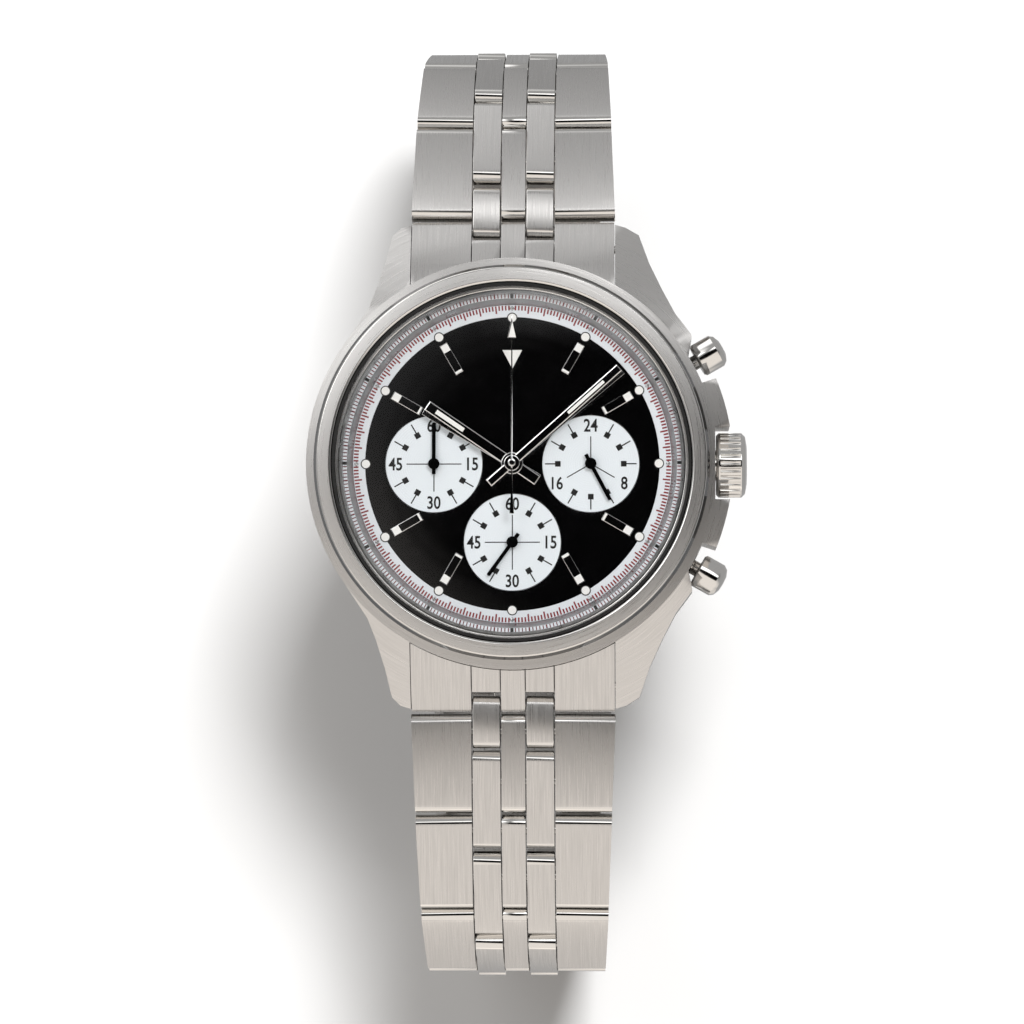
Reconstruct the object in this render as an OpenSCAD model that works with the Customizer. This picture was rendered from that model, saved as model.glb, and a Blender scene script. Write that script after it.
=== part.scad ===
// Three-register chronograph wristwatch on a five-row folding-clasp bracelet.
// Z points out through the dial, Y to twelve o'clock, X to the crown.
// The origin is under the hand axis, on the flat of the clasp.

/* [Case] */
// Radius of the round case
case_r = 19.8; // [19.5:0.1:20.5]
// Half of the length over the lug tips
lug_y = 23.5; // [23.3:0.1:24]
// Half of the gap between the lugs
lug_gap = 9.9; // [9.8:0.1:10]
// Height of the case top over the case back
case_top = 8.4; // [8.2:0.1:8.8]
// Outer radius of the bezel
bezel_r = 18.95; // [18.5:0.05:19.3]
// Radius of the crystal
crystal_r = 16.9; // [16.7:0.1:17]

/* [Dial] */
// Radius of the black centre of the dial
dial_r = 14.15; // [13.8:0.05:14.3]
// Radius of a sub-dial
sub_r = 4.72; // [4.2:0.02:4.8]
// Distance of a sub-dial from the centre
sub_offset = 7.55; // [7.4:0.05:7.8]
// Angle of the hour hand, clockwise from twelve
hour_angle = 301.5; // [0:0.5:359.5]
// Angle of the minute hand, clockwise from twelve
minute_angle = 50; // [0:0.5:359.5]
// Angle of the small seconds hand
seconds_angle = 216; // [0:1:359]
// Angle of the twenty-four hour hand
day_angle = 152; // [0:1:359]

/* [Crown and pushers] */
// Radius of the crown
crown_r = 3.12; // [2.9:0.01:3.2]
// Angle of each pusher from the crown
pusher_angle = 29.5; // [29:0.1:30]
// Radius of a pusher cap
pusher_r = 1.65; // [1.5:0.05:1.7]

/* [Bracelet] */
// Length of one full link
pitch = 9.7; // [9.6:0.05:9.8]
// Width of the bracelet at the case
bracelet_w = 19.8; // [19:0.1:19.8]
// Width lost at each full link, down to the width at the clasp
taper = 0.75; // [0.7:0.05:0.95]
// Thickness of a link
link_t = 2.8; // [2.6:0.1:2.9]
// Radius of a link pin
pin_r = 0.5; // [0.4:0.05:0.55]

/* [Clasp] */
// Outer width of the clasp cover
clasp_w = 18.4; // [18.2:0.1:19]
// Height of the clasp side walls
clasp_h = 4.3; // [4.1:0.1:4.6]

/* [Hidden] */
$fn = 96;
eps = 0.01;
air = 0.02;

steel = [0.78, 0.77, 0.75];
polished = [0.88, 0.88, 0.88];
black = [0.05, 0.05, 0.06];
white = [0.93, 0.93, 0.92];
brass = [0.75, 0.62, 0.35];

// ---- the chain of each half of the bracelet, as tilts below level --------
// tilt of each hinge-to-hinge stretch, from the case to the clasp
tilt_12_plan = [8, 16, 31, 47, 61, 76, 92, 108, 124, 140, 154, 168];
tilt_6 = [3, 6, 13, 21, 37, 54, 72, 90, 105, 120, 135, 149, 161, 172];
first_step = 2.6;
step = pitch / 2;
head_pin_y = 23;
// part of a link that lies past its hinge, short end and long end
tail_short = 0.18 * pitch;
tail_long = 0.32 * pitch;
end_gap = 0.07;

function stretch(i) = i == 0 ? first_step : step;
function chain_y(t, n) = n == 0 ? head_pin_y : chain_y(t, n - 1) + stretch(n - 1) * cos(t[n - 1]);
function chain_drop(t, n) = n == 0 ? 0 : chain_drop(t, n - 1) + stretch(n - 1) * sin(t[n - 1]);
function scaled(t, k) = [for (a = t) a * k];
// the twelve side is scaled until both halves come down to the same height
drop_6 = chain_drop(tilt_6, len(tilt_6));
function drop_miss(k) = chain_drop(scaled(tilt_12_plan, k), len(tilt_12_plan)) - drop_6;
function close_loop(lo, hi, n) = n == 0 ? (lo + hi) / 2
    : let (mid = (lo + hi) / 2)
      (drop_miss(mid) > 0 ? close_loop(mid, hi, n - 1) : close_loop(lo, mid, n - 1));
tilt_12 = scaled(tilt_12_plan, close_loop(0.94, 1.06, 40));

clasp_pin_z = 3;
head_pin_z = clasp_pin_z + drop_6;
pin_over_back = 2.4;
head_z = head_pin_z - pin_over_back;
pin_12_y = chain_y(tilt_12, len(tilt_12));
pin_6_y = -chain_y(tilt_6, len(tilt_6));

// ---- head levels, above the outer face of the case back ------------------
back_t = 1.4;
dial_z = 6.6;
dial_t = 0.4;
dial_top = dial_z + dial_t;
sub_depth = 0.1;
chapter_in_r = dial_r + air;
chapter_out_r = 15.35;
chapter_top = dial_top + 0.25;
flange_out_r = 16.55;
flange_top = 9.3;
bezel_top = 10.6;
crystal_z = 9.4;
crystal_top = 11.6;
stem_z = 4.3;
movement_r = 15;
bore_r = 16.1;
seat_r = 16.6;
hour_z = 7.7;
minute_z = 8.2;
chrono_z = 8.7;
hand_t = 0.15;
sub_hand_z = 7.2;

// ---- small helpers ---------------------------------------------------------
module at_head() { translate([0, 0, head_z]) children(); }
module ring(r_out, r_in, h) {
    difference() {
        cylinder(r = r_out, h = h);
        translate([0, 0, -1]) cylinder(r = r_in, h = h + 2);
    }
}
// a profile drawn in Y and Z, drawn out along X
module along_x(x0, x1) {
    translate([x0, 0, 0]) rotate([90, 0, 90]) linear_extrude(x1 - x0) children();
}
module rod_x(x0, x1, r) { translate([x0, 0, 0]) rotate([0, 90, 0]) cylinder(r = r, h = x1 - x0); }
// clockwise from twelve o'clock
module clock(angle) { rotate([0, 0, -angle]) children(); }
module both_ends() { children(); mirror([0, 1, 0]) children(); }
module both_sides() { children(); mirror([1, 0, 0]) children(); }

// ---- case --------------------------------------------------------------------
lug_drop = 4.6;
lug_start = 10;
lug_steps = 10;
function lug_top(y) = case_top - lug_drop * pow(max(0, y - lug_start) / (lug_y - lug_start), 1.7);
guard_r = 21.2;
guard_a0 = 9.6;
guard_a1 = 22.5;
flank_a = 35.4;

// half of the side view of the case, from the middle to a lug tip
module lug_profile() {
    polygon(concat(
        [[-1, back_t], [14, back_t], [lug_y - 1.5, 0.5], [lug_y - 0.2, 0.3], [lug_y, 0.6]],
        [for (i = [lug_steps : -1 : 0])
            let (y = lug_start + (lug_y - lug_start) * i / lug_steps) [y, lug_top(y)]],
        [[-1, case_top]]));
}
module left_lug_plan() {
    polygon([[-lug_gap, 0], [-lug_gap, lug_y], [-lug_gap - 1, lug_y - 0.3], [-11.7, lug_y - 1.1],
        [-12.3, 19.7], [-13.1, 17], [-13.9, 14.9], [-15.2, 12.9], [-16.7, 10.6], [-15, 0]]);
}
module right_lug_plan() {
    polygon([[lug_gap, 0], [lug_gap, lug_y], [lug_gap + 1, lug_y - 0.3], [12.2, lug_y - 1.1],
        [13.2, 19.5], [14.4, 16.9], [15.7, 14.4], [guard_r * cos(flank_a), guard_r * sin(flank_a)],
        [15, 0]]);
}
module guard_plan() {
    polygon([[10, 1.7], for (i = [0 : 6]) let (a = guard_a0 + (guard_a1 - guard_a0) * i / 6)
        [guard_r * cos(a), guard_r * sin(a)], [10, 5]]);
}
module case_middle() {
    color(steel) at_head() difference() {
        union() {
            translate([0, 0, back_t]) cylinder(r = case_r, h = case_top - back_t);
            both_ends() intersection() {
                linear_extrude(case_top) union() {
                    left_lug_plan();
                    right_lug_plan();
                    guard_plan();
                }
                along_x(-25, 25) lug_profile();
            }
        }
        translate([0, 0, -1]) cylinder(r = bore_r, h = case_top + 2);
        translate([0, 0, 5.8]) cylinder(r = seat_r, h = 5);
        // undercut that bevels the round underside between the lugs
        rotate_extrude() polygon([[case_r - 1.2, back_t - 1], [case_r + 5, back_t - 1],
            [case_r + 5, back_t + 0.05], [case_r - 1.2, back_t + 0.05]]);
        // flat that the crown sits against, and the two pusher recesses
        translate([case_r - 0.3, -crown_r - 0.4, -1]) cube([5, 2 * crown_r + 0.8, 12]);
        for (s = [-1, 1]) rotate([0, 0, s * pusher_angle]) translate([case_r - 0.15, 0, stem_z])
            rod_x(0, 6, pusher_r + 0.3);
        translate([0, 0, stem_z]) rod_x(14, 25, 1.52);
        for (s = [-1, 1]) rotate([0, 0, s * pusher_angle]) translate([0, 0, stem_z])
            rod_x(14, 25, 1.42);
        both_ends() translate([0, spring_bar_y, pin_over_back]) both_sides() rod_x(8, 11.4, bar_tip_r + 0.03);
    }
}

bezel_flat_r = 18.65;
module bezel() {
    color(steel) at_head() rotate_extrude() polygon([[16.62, case_top + air], [bezel_r, case_top + air],
        [bezel_r, bezel_top - 0.7], [bezel_flat_r, bezel_top], [17.4, bezel_top],
        [17.22, bezel_top - 0.25], [17.22, 9.35], [16.62, 9.35]]);
}
dome_steps = 8;
module crystal() {
    color([0.8, 0.9, 0.95, 0.25]) at_head() rotate_extrude() polygon(concat(
        [[0, crystal_z + 0.3], [14, crystal_z + 0.1], [15.6, crystal_z], [crystal_r, crystal_z],
         [crystal_r, bezel_top]],
        [for (i = [dome_steps : -1 : 0]) let (r = (crystal_r - 0.3) * i / dome_steps)
            [r, crystal_top - 0.9 * pow(r / crystal_r, 2)]]));
}
module o_ring(r, t) { rotate_extrude() translate([r, 0]) circle(r = t, $fn = 24); }
module gaskets() {
    color(black) at_head() {
        translate([0, 0, crystal_z]) ring(17.2, crystal_r + air, 1.1);
        // case back seal
        translate([0, 0, back_t + air]) ring(16.05, 15.6, 0.35);
        // stem and pusher seals
        translate([18.2, 0, stem_z]) rotate([0, 90, 0]) ring(0.98, 0.5, 0.6);
        for (s = [-1, 1]) rotate([0, 0, s * pusher_angle]) translate([18.2, 0, stem_z])
            rotate([0, 90, 0]) ring(1.03, 0.73, 0.5);
    }
}
module flange_ring() {
    color([0.35, 0.35, 0.36]) at_head() rotate_extrude() polygon([[chapter_out_r + air, dial_top + air],
        [flange_out_r, dial_top + air], [flange_out_r, flange_top], [16.3, flange_top], [16.25, 8.4],
        [15.85, 8.3], [chapter_out_r + air, 7.35]]);
}
module chapter_ring() {
    color(white) at_head() translate([0, 0, dial_top + air])
        ring(chapter_out_r, chapter_in_r, chapter_top - dial_top - air);
}

// ---- dial, markers and hands ---------------------------------------------------
sub_centres = [[-sub_offset, 0], [sub_offset, 0], [0, -sub_offset]];
module dial() {
    color(black) at_head() difference() {
        translate([0, 0, dial_z + air]) cylinder(r = 16.4, h = dial_t - air);
        translate([0, 0, 5]) cylinder(r = 0.85, h = 4);
        for (c = sub_centres) translate([c[0], c[1], 0]) {
            translate([0, 0, dial_top - sub_depth]) cylinder(r = sub_r, h = 1);
            translate([0, 0, 5]) cylinder(r = 0.3, h = 4);
        }
    }
}
baton_hours = [1, 2, 4, 5, 7, 8, 10, 11];
stud_r = 0.3;
module baton() {
    translate([-0.4, 10.1, dial_top + air]) cube([0.8, 3.2, 0.35]);
    translate([-0.33, 10.6, dial_top + 0.3]) cube([0.66, 2.2, 0.15]);
}
module hour_markers() {
    color(polished) at_head() {
        for (h = baton_hours) clock(30 * h) baton();
        for (h = [0 : 11]) clock(30 * h) translate([0, 15, chapter_top + air])
            cylinder(r1 = stud_r, r2 = 0.45 * stud_r, h = 0.2, $fn = 4);
    }
}
module main_hand(length, width, tail) {
    linear_extrude(hand_t) translate([-width / 2, -tail]) square([width, length + tail]);
}
module hour_hand() {
    color(black) at_head() clock(hour_angle) difference() {
        union() {
            translate([0, 0, hour_z]) main_hand(9.9, 1, 2.95);
            translate([0, 0, hour_z]) cylinder(r = 1.06, h = 0.3);
            translate([0, 0, dial_z]) cylinder(r = 0.78, h = hour_z - dial_z + 0.1);
        }
        translate([0, 0, 5]) cylinder(r = 0.53, h = 5);
    }
}
module minute_hand() {
    color(black) at_head() clock(minute_angle) difference() {
        union() {
            translate([0, 0, minute_z]) main_hand(13.8, 0.77, 2.95);
            translate([0, 0, minute_z]) cylinder(r = 0.77, h = 0.3);
            translate([0, 0, dial_z]) cylinder(r = 0.48, h = minute_z - dial_z + 0.1);
        }
        translate([0, 0, 5]) cylinder(r = 0.26, h = 5);
    }
}
module chrono_seconds_hand() {
    color(polished) at_head() {
        translate([0, 0, chrono_z]) {
            linear_extrude(hand_t) polygon([[-0.22, -4.9], [0.22, -4.9], [0.06, -2.5], [0.06, 12],
                [0.41, 12], [0.05, 13.7], [0.05, 14.2], [-0.05, 14.2], [-0.05, 13.7], [-0.41, 12],
                [-0.06, 12], [-0.06, -2.5]]);
            cylinder(r = 0.37, h = 0.3);
        }
        translate([0, 0, dial_z]) cylinder(r = 0.21, h = chrono_z - dial_z + 0.1);
    }
}
module sub_hand(centre, angle) {
    color(black) at_head() translate([centre[0], centre[1], 0]) clock(angle) {
        translate([0, 0, sub_hand_z]) {
            linear_extrude(hand_t) polygon([[-0.18, -1], [0.18, -1], [0.18, 3.9], [0, 4], [-0.18, 3.9]]);
            cylinder(r = 0.55, h = 0.3);
        }
        translate([0, 0, dial_z + air]) cylinder(r = 0.25, h = sub_hand_z - dial_z);
    }
}
module small_seconds_hand() { sub_hand(sub_centres[2], seconds_angle); }
module chrono_minute_hand() { sub_hand(sub_centres[0], 0); }
module day_hand() { sub_hand(sub_centres[1], day_angle); }

// ---- movement ------------------------------------------------------------------
plate_z = 5.7;
bridge_z = 3.1;
module movement_plate() {
    color(brass) at_head() difference() {
        translate([0, 0, plate_z]) cylinder(r = movement_r, h = dial_z - plate_z - 0.05);
        translate([0, 0, 5]) cylinder(r = 0.9, h = 3);
        for (c = sub_centres) translate([c[0], c[1], 5]) cylinder(r = 0.3, h = 3);
    }
}
module movement_bridge() {
    color(polished) at_head() {
        intersection() {
            translate([0, 0, bridge_z]) cylinder(r = 14.5, h = 0.8);
            translate([-16, -16, 0]) cube([20, 32, 8]);
        }
        for (a = [110, 180, 250]) rotate([0, 0, a]) translate([13, 0, bridge_z + 0.4])
            cylinder(r = 0.9, h = plate_z - bridge_z - 0.4 - air);
    }
}
module battery() { color(polished) at_head() translate([-5.5, 5.5, 4]) cylinder(r = 4.75, h = 1.65); }
module drive_coils() {
    color([0.6, 0.3, 0.12]) at_head() for (x = [-6, 0]) translate([x, -9, 4.8])
        rod_x(-2.4, 2.4, 0.75);
}
module movement_holder() {
    color(white) at_head() difference() {
        translate([0, 0, 3.1]) ring(15.9, movement_r + 0.05, dial_z - 3.1 - air);
        translate([0, 0, stem_z]) rod_x(12, 20, 1.6);
        for (s = [-1, 1]) rotate([0, 0, s * pusher_angle]) translate([0, 0, stem_z]) rod_x(12, 20, 1.6);
    }
}
module case_back() {
    color(steel) at_head() difference() {
        union() {
            rotate_extrude() polygon([[0, 0], [16.6, 0], [17.2, 0.5], [17.2, back_t], [0, back_t]]);
            translate([0, 0, back_t - eps]) ring(15.55, 14.4, 1.6);
        }
        for (i = [0 : 5]) rotate([0, 0, 60 * i]) translate([15, -1, -1]) cube([4, 2, 1.7]);
        translate([0, 0, 0.9]) cylinder(r = 14.4, h = 3);
    }
}

// ---- crown and pushers -----------------------------------------------------------
crown_x = 19.62;
crown_len = 2.95;
flutes = 28;
module crown() {
    color(polished) at_head() translate([crown_x, 0, stem_z]) rotate([0, 90, 0]) difference() {
        rotate_extrude() polygon([[0, 0], [crown_r - 0.25, 0], [crown_r, 0.25], [crown_r, crown_len - 0.5],
            [crown_r - 0.35, crown_len - 0.15], [crown_r - 1.2, crown_len], [0, crown_len]]);
        translate([0, 0, -1]) cylinder(r = 1.6, h = 2.6);
        translate([0, 0, -1]) cylinder(r = 0.47, h = 3.2);
        for (i = [0 : flutes - 1]) rotate([0, 0, 360 * i / flutes]) translate([crown_r + 0.05, 0, 0.4])
            cylinder(r = 0.22, h = crown_len - 1, $fn = 16);
    }
}
stem_half = 0.35;
module winding_stem() {
    color(polished) at_head() translate([0, 0, stem_z]) {
        rod_x(9.5, crown_x + 2.1, 0.45);
        translate([5, -stem_half, -stem_half]) cube([5, 2 * stem_half, 2 * stem_half]);
    }
}
module clutch_wheel() {
    color(brass) at_head() translate([6.6, 0, stem_z]) difference() {
        union() {
            rod_x(0, 0.5, 1.3);
            rod_x(0.4, 1.2, 0.9);
            rod_x(1.1, 1.6, 1.3);
        }
        translate([-1, -stem_half - 0.04, -stem_half - 0.04]) cube([5, 2 * stem_half + 0.08, 2 * stem_half + 0.08]);
    }
}
module tube(r_out, r_in, x0, x1) {
    translate([0, 0, stem_z]) difference() {
        rod_x(x0, x1, r_out);
        rod_x(x0 - 1, x1 + 1, r_in);
    }
}
module case_tubes() {
    color(polished) at_head() {
        tube(1.5, 1, 17, 20.4);
        for (s = [-1, 1]) rotate([0, 0, s * pusher_angle]) tube(1.4, 1.05, 17, 19.72);
    }
}
pusher_in = 16.9;
cap_in = 20.5;
module pusher(side) {
    color(polished) at_head() rotate([0, 0, side * pusher_angle]) translate([0, 0, stem_z]) {
        rod_x(pusher_in, cap_in + 0.2, 0.7);
        rotate([0, 90, 0]) translate([0, 0, cap_in]) rotate_extrude() polygon([[0, 0],
            [pusher_r - 0.2, 0], [pusher_r, 0.2], [pusher_r, 2.1], [pusher_r - 0.3, 2.5],
            [pusher_r - 0.9, 2.75], [0, 2.8]]);
    }
}
module start_pusher() { pusher(1); }
module reset_pusher() { pusher(-1); }

// ---- bracelet ----------------------------------------------------------------------
spring_bar_y = 21.2;
bar_r = 0.65;
bar_tip_r = 0.4;
centre_half = 1.15;
column_in = 1.25;
column_out = 3.95;
outer_in = 4.05;
end_round = 0.85;
round_steps = 5;
crown_h = 0.1;
crown_steps = 6;
under_bevel = 0.75;
clasp_link_w = 16.2;

module spring_bars() {
    color(polished) at_head() both_ends() translate([0, spring_bar_y, pin_over_back]) {
        rod_x(-9.6, 9.6, bar_r);
        both_sides() rod_x(9.5, 11.2, bar_tip_r);
    }
}
end_link_y = head_pin_y + first_step - tail_short - end_gap;
notch_y = 21.9;
module end_link() {
    difference() {
        intersection() {
            difference() {
                translate([-lug_gap + 0.08, 15, 0]) cube([2 * lug_gap - 0.16, end_link_y - 15, 9]);
                translate([0, 0, -1]) cylinder(r = case_r + 0.06, h = 12);
            }
            along_x(-12, 12) polygon([[15, 2], [19, 1.4], [end_link_y - 0.6, 1], [end_link_y, 1.8],
                [end_link_y, 3.4], [end_link_y - 0.3, 3.75], [21.5, 5.2], [19.5, 6.2], [17, 7], [15, 7.2]]);
        }
        both_sides() translate([column_in - 0.1, notch_y, 0]) cube([column_out - column_in + 0.2, 5, 9]);
        both_sides() for (x = [centre_half, column_out]) translate([x, 15, 3.5]) cube([0.1, 9, 5]);
        translate([0, spring_bar_y, pin_over_back]) rod_x(-12, 12, bar_r + 0.03);
        translate([0, head_pin_y, pin_over_back]) rod_x(-12, 12, pin_r + air);
    }
    translate([0, head_pin_y, pin_over_back]) rod_x(-9.2, 9.2, pin_r);
}
module end_links() { color(steel) at_head() both_ends() end_link(); }

// a rounded upper corner, from angle a0 to angle a1
function round_corner(y, a0, a1) = [for (i = [0 : round_steps])
    let (a = a0 + (a1 - a0) * i / round_steps)
    [y + end_round * cos(a), link_t / 2 - end_round + end_round * sin(a)]];
// the slightly crowned top between two rounded corners
function crowned_top(y0, y1) = [for (i = [1 : crown_steps - 1])
    let (way = i / crown_steps) [y0 + (y1 - y0) * way, link_t / 2 + 4 * crown_h * way * (1 - way)]];
// one bar of a link from y0 to y1, its under edges cut back so that it can bend
module link_bar(x0, x1, y0, y1) {
    along_x(x0, x1) polygon(concat(round_corner(y0 + end_round, 180, 90),
        crowned_top(y0 + end_round, y1 - end_round), round_corner(y1 - end_round, 90, 0),
        [[y1, 0], [y1 - under_bevel, -link_t / 2], [y0 + under_bevel, -link_t / 2], [y0, 0]]));
}
function half_width(row) = max(bracelet_w - taper * row, clasp_link_w) / 2;

// full link: two outer bars, a middle bar and the two pins they carry
module link_a(row, last) {
    y0 = -tail_short + end_gap;
    y1 = step + tail_long - end_gap;
    w = half_width(row);
    w_far = half_width(row + 1);
    difference() {
        union() {
            link_bar(-centre_half, centre_half, y0, y1);
            intersection() {
                both_sides() link_bar(outer_in, w + 1, y0, y1);
                linear_extrude(9, center = true) polygon([[-w, y0], [w, y0],
                    [w_far, y1], [-w_far, y1]]);
            }
            if (last) both_sides() link_bar(column_in, column_out, tail_short + end_gap, y1);
        }
        rod_x(-12, 12, pin_r + air);
        translate([0, step, 0]) rod_x(-12, 12, pin_r + air);
    }
    rod_x(0.6 - w, w - 0.6, pin_r);
    translate([0, step, 0]) rod_x(0.9 - w, w - 0.9, pin_r);
}
// half link: the two bars between the outer and middle bars
module link_b(length, y0) {
    difference() {
        both_sides() link_bar(column_in, column_out, y0, length + tail_short - end_gap);
        rod_x(-12, 12, pin_r + 0.05);
        translate([0, length, 0]) rod_x(-12, 12, pin_r + 0.05);
    }
}
// puts a stretch of the chain in its place; side is 1 for twelve and -1 for six
module on_chain(side, i) {
    t = side > 0 ? tilt_12 : tilt_6;
    mirror([0, side > 0 ? 0 : 1, 0]) translate([0, chain_y(t, i), head_pin_z - chain_drop(t, i)])
        rotate([-t[i], 0, 0]) children();
}
module full_link(side, n) {
    color(steel) on_chain(side, 2 * n - 1) link_a(n - 1, side < 0 && n == 7);
}
module half_link(side, n) {
    color(steel) on_chain(side, 2 * n - 2) {
        if (n == 1) link_b(first_step, -0.8);
        else link_b(step, -tail_long + end_gap);
    }
}

// ---- clasp --------------------------------------------------------------------------
wall_t = 0.9;
plate_t = 0.8;
clasp_in = clasp_w / 2 - wall_t;
ear = 1.6;
plate_gap = tail_long + 0.6;
hinge_in = 5.5;
cover_hinge_y = pin_12_y - hinge_in;
fold_hinge_y = pin_6_y + hinge_in;
cover_hinge_z = 1.7;
fold_hinge_z = 2.4;
hinge_pin_r = 0.4;
barrel_r = 0.85;
blade_half = 7.6;
inner_half = 6.6;
knuckle_half = 3.1;
button_y = pin_6_y + 16;
button_z = 2.2;
button_travel = 0.45;

module clasp_cover() {
    plate_0 = pin_6_y + plate_gap;
    plate_1 = pin_12_y - plate_gap;
    color(steel) difference() {
        union() {
            translate([-clasp_w / 2, plate_0, 0]) cube([clasp_w, plate_1 - plate_0, plate_t]);
            both_sides() along_x(clasp_in, clasp_w / 2) polygon([[plate_0, 0], [plate_1, 0],
                [pin_12_y + ear - 0.8, 1.6], [pin_12_y + ear, 2.6], [pin_12_y + ear, clasp_h - 0.4],
                [pin_12_y + ear - 0.4, clasp_h], [pin_6_y - ear + 0.4, clasp_h],
                [pin_6_y - ear, clasp_h - 0.4], [pin_6_y - ear, 2.6], [pin_6_y - ear + 0.8, 1.6]]);
        }
        translate([0, cover_hinge_y, cover_hinge_z]) rod_x(-12, 12, hinge_pin_r + air);
        // row of adjustment holes at each end
        for (y = [pin_6_y, pin_6_y + 2.6, pin_12_y]) translate([0, y, clasp_pin_z]) rod_x(-12, 12, pin_r + 0.05);
        translate([0, button_y, button_z]) rod_x(-12, 12, 1.25);
        // bevel along the two long lower edges
        both_sides() translate([clasp_w / 2, 0, 0]) rotate([0, 45, 0]) cube([0.5, 90, 0.5], center = true);
    }
    color(polished) translate([0, cover_hinge_y, cover_hinge_z]) rod_x(0.2 - clasp_w / 2, clasp_w / 2 - 0.2, hinge_pin_r);
}
module clasp_middle_blade() {
    color(polished) difference() {
        union() {
            translate([-blade_half, fold_hinge_y, 1.2]) cube([2 * blade_half, cover_hinge_y - fold_hinge_y, 1]);
            translate([0, cover_hinge_y, cover_hinge_z]) rod_x(-blade_half, blade_half, barrel_r);
            translate([0, fold_hinge_y, fold_hinge_z]) rod_x(-blade_half, blade_half, barrel_r);
            translate([-blade_half, fold_hinge_y, 1.55]) cube([2 * blade_half, 1.2, 0.9]);
        }
        translate([0, cover_hinge_y, cover_hinge_z]) rod_x(-12, 12, hinge_pin_r + 0.04);
        translate([0, fold_hinge_y, fold_hinge_z]) rod_x(-12, 12, hinge_pin_r + air);
        translate([-knuckle_half - 0.05, fold_hinge_y - 2, 0]) cube([2 * knuckle_half + 0.1, 3.2, 6]);
        // weight-saving slot
        translate([-3.6, fold_hinge_y + 6, 0]) cube([7.2, cover_hinge_y - fold_hinge_y - 12, 6]);
    }
    color(polished) translate([0, fold_hinge_y, fold_hinge_z]) rod_x(0.2 - blade_half, blade_half - 0.2, hinge_pin_r);
}
inner_end_y = pin_12_y - tail_long - 0.7;
module clasp_inner_blade() {
    color(polished) difference() {
        union() {
            translate([-inner_half, fold_hinge_y + 1.2, 2.6]) cube([2 * inner_half, inner_end_y - fold_hinge_y - 1.2, 1]);
            translate([-knuckle_half, fold_hinge_y, 2.4]) cube([2 * knuckle_half, 2, 0.85]);
            translate([0, fold_hinge_y, fold_hinge_z]) rod_x(-knuckle_half, knuckle_half, barrel_r);
            both_sides() translate([0, pin_12_y, clasp_pin_z]) rod_x(column_in + 0.05, column_out - 0.05, 1.2);
            both_sides() translate([column_in + 0.05, inner_end_y - 1, 2.6])
                cube([column_out - column_in - 0.1, pin_12_y - inner_end_y + 1, 1]);
        }
        translate([0, fold_hinge_y, fold_hinge_z]) rod_x(-12, 12, hinge_pin_r + 0.04);
        translate([0, pin_12_y, clasp_pin_z]) rod_x(-12, 12, pin_r + 0.04);
        translate([-2.4, fold_hinge_y + 7, 0]) cube([4.8, inner_end_y - fold_hinge_y - 14, 6]);
    }
}
module clasp_button(side) {
    color(polished) scale([side, 1, 1]) translate([0, button_y, button_z]) {
        rod_x(clasp_in + 0.02, clasp_w / 2 + button_travel + 0.3, 1.2);
        rod_x(clasp_w / 2 + button_travel + 0.1, clasp_w / 2 + button_travel + 0.8, 1.6);
    }
}
module clasp_button_left() { mirror([1, 0, 0]) clasp_button(1); }
module clasp_button_right() { clasp_button(1); }

case_middle();
bezel();
crystal();
gaskets();
flange_ring();
chapter_ring();
dial();
hour_markers();
hour_hand();
minute_hand();
chrono_seconds_hand();
small_seconds_hand();
chrono_minute_hand();
day_hand();
movement_plate();
movement_bridge();
battery();
drive_coils();
movement_holder();
case_back();
crown();
winding_stem();
clutch_wheel();
case_tubes();
start_pusher();
reset_pusher();
end_links();
spring_bars();
half_link(1, 1);  // link_12_b1
full_link(1, 1);  // link_12_a1
half_link(1, 2);  // link_12_b2
full_link(1, 2);  // link_12_a2
half_link(1, 3);  // link_12_b3
full_link(1, 3);  // link_12_a3
half_link(1, 4);  // link_12_b4
full_link(1, 4);  // link_12_a4
half_link(1, 5);  // link_12_b5
full_link(1, 5);  // link_12_a5
half_link(1, 6);  // link_12_b6
full_link(1, 6);  // link_12_a6
half_link(-1, 1);  // link_6_b1
full_link(-1, 1);  // link_6_a1
half_link(-1, 2);  // link_6_b2
full_link(-1, 2);  // link_6_a2
half_link(-1, 3);  // link_6_b3
full_link(-1, 3);  // link_6_a3
half_link(-1, 4);  // link_6_b4
full_link(-1, 4);  // link_6_a4
half_link(-1, 5);  // link_6_b5
full_link(-1, 5);  // link_6_a5
half_link(-1, 6);  // link_6_b6
full_link(-1, 6);  // link_6_a6
half_link(-1, 7);  // link_6_b7
full_link(-1, 7);  // link_6_a7
clasp_cover();
clasp_middle_blade();
clasp_inner_blade();
clasp_button_left();
clasp_button_right();
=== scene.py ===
"""Looks of a steel three-register chronograph wristwatch on its link bracelet."""

import logging
import math
from dataclasses import dataclass, field
from enum import Enum
from typing import Any, Iterable, Sequence

import bpy
from mathutils import Matrix, Vector


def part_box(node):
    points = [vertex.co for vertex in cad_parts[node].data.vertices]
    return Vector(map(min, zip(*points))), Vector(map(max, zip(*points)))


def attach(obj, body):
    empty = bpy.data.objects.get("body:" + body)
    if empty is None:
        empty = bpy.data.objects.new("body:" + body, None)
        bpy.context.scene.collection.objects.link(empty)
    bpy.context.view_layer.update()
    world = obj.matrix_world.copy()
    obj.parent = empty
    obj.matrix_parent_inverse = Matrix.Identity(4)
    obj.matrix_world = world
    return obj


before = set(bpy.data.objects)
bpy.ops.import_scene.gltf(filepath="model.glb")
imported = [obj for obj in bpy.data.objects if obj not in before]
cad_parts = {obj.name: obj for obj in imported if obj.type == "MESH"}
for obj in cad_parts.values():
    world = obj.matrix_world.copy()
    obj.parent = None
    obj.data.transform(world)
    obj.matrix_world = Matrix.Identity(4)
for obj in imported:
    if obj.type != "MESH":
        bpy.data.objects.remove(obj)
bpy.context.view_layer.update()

log = logging.getLogger("watch")
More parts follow.
